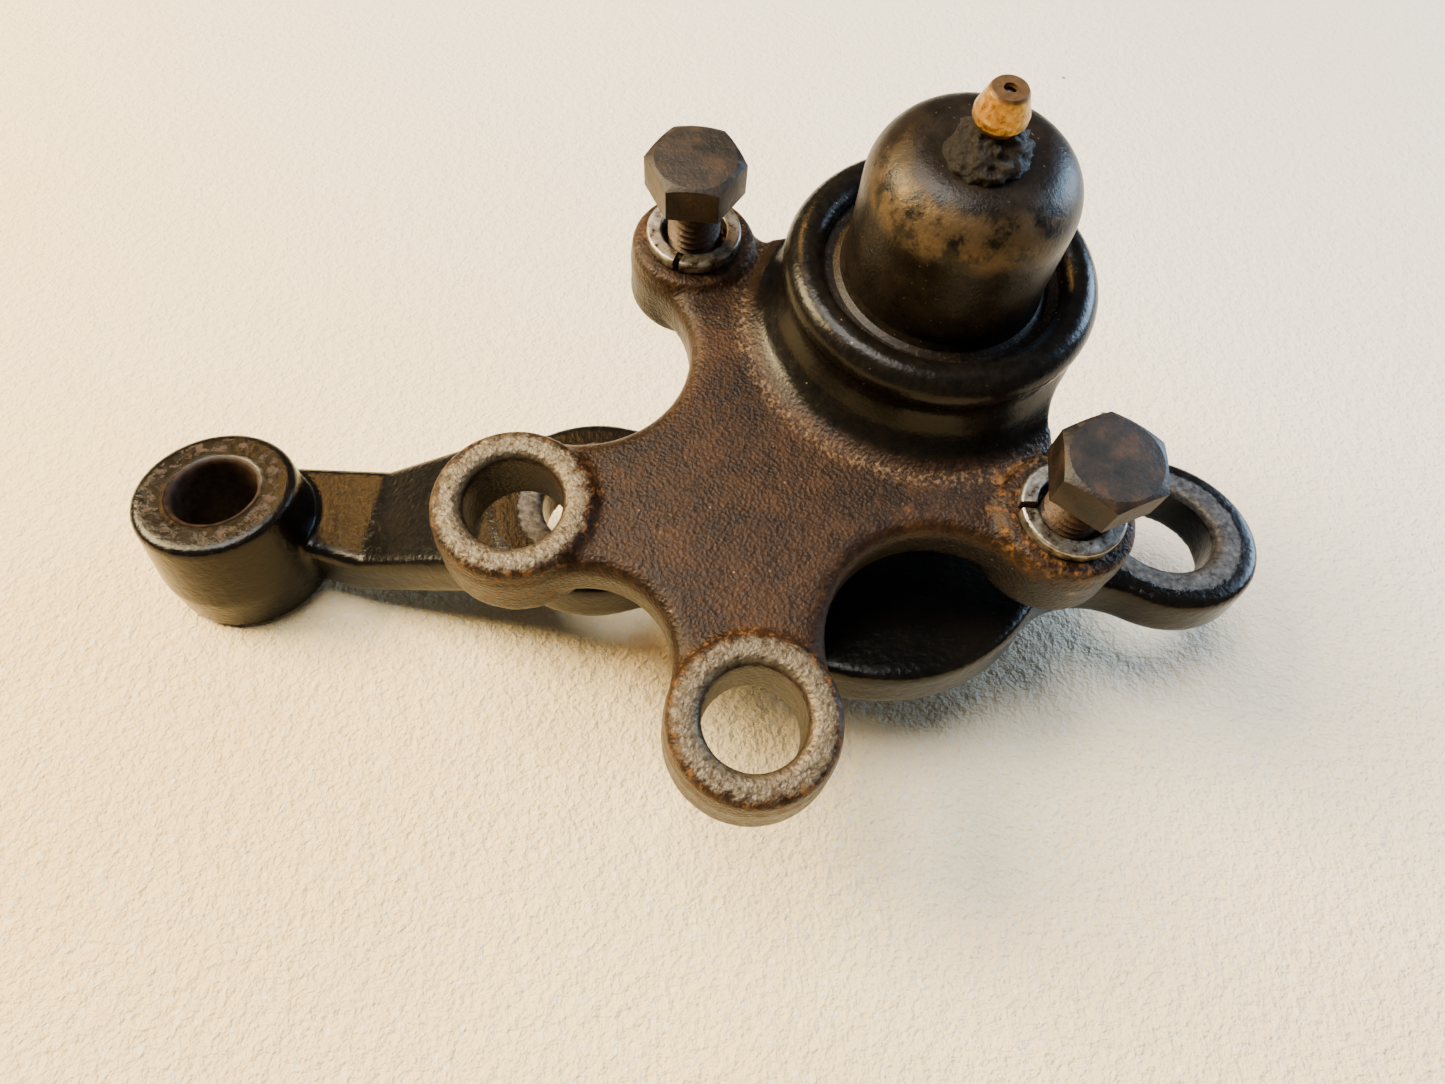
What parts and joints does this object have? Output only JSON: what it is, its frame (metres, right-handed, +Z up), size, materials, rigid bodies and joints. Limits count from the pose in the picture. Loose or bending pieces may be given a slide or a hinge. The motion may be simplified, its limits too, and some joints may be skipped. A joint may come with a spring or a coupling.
{
  "type": "lower ball joint on steering arm",
  "caption": "Flanged suspension ball joint with a domed, greasable cover, standing on the forged steering arm that carries its stud.",
  "frame": {"origin": "where the strut pilot's axis meets the flat end of the pilot, directly under the ball's centre", "axes": "+Z up the pilot towards the ball, +X along the row of strut bolt holes away from the tie rod boss, +Y away from the flange's far ears"},
  "size_m": [0.1835, 0.0947, 0.0896],
  "materials": {
    "forged_arm": "glossy black paint over forging skin",
    "cast_housing": "rough bronze-black casting with rust",
    "pressed_cover": "satin black, worn at the shoulder",
    "bright_steel": "bare steel, dull",
    "black_bolt": "black oxide with rust",
    "zinc_washer": "zinc, dull",
    "nipple_brass": "yellow passivated brass",
    "spring_wire": "oiled spring steel",
    "sintered_seat": "oil-soaked sintered steel",
    "liner_plastic": "natural nylon",
    "gasket_fibre": "pressed fibre",
    "boot_rubber": "black rubber"
  },
  "bodies": {
    "arm": {"steering_arm": "forged_arm", "ball_stud": "bright_steel", "castle_nut": "black_bolt", "cotter_pin": "zinc_washer", "dust_boot": "boot_rubber", "boot_lower_ring": "spring_wire"},
    "liner": {"ball_liner": "liner_plastic"},
    "seats": {"lower_ball_seat": "sintered_seat", "upper_ball_seat": "sintered_seat", "preload_spring": "spring_wire"},
    "housing": {"ball_joint_housing": "cast_housing", "dome_cover": "pressed_cover", "cover_gasket": "gasket_fibre", "grease_nipple": "nipple_brass", "nipple_check_spring": "spring_wire", "flange_bolt_left": "black_bolt", "flange_bolt_right": "black_bolt", "lock_washer_left": "zinc_washer", "lock_washer_right": "zinc_washer", "boot_upper_ring": "spring_wire"},
    "check_ball": {"nipple_check_ball": "bright_steel"}
  },
  "joints": [
    {"name": "ball_tilt_fore_aft", "type": "hinge", "parent": "arm", "child": "liner", "pos_m": [0, 0, 0.0492], "axis": [1, 0, 0], "range_deg": [-34, 5], "deforming": ["dust_boot"]},
    {"name": "ball_tilt_sideways", "type": "hinge", "parent": "liner", "child": "seats", "pos_m": [0, 0, 0.0492], "axis": [0, 0.9803, 0.1977], "range_deg": [-6, 8], "deforming": ["dust_boot"]},
    {"name": "ball_swivel", "type": "hinge", "parent": "seats", "child": "housing", "pos_m": [0, 0, 0.0492], "axis": [0, -0.1977, 0.9803], "range_deg": [-25, 25], "deforming": ["dust_boot"]},
    {"name": "nipple_valve", "type": "slide", "parent": "housing", "child": "check_ball", "axis": [0, 0.1977, -0.9803], "range_m": [0, 0.0005], "stiffness_N_per_m": 150, "springref_m": -0.0005}
  ]
}
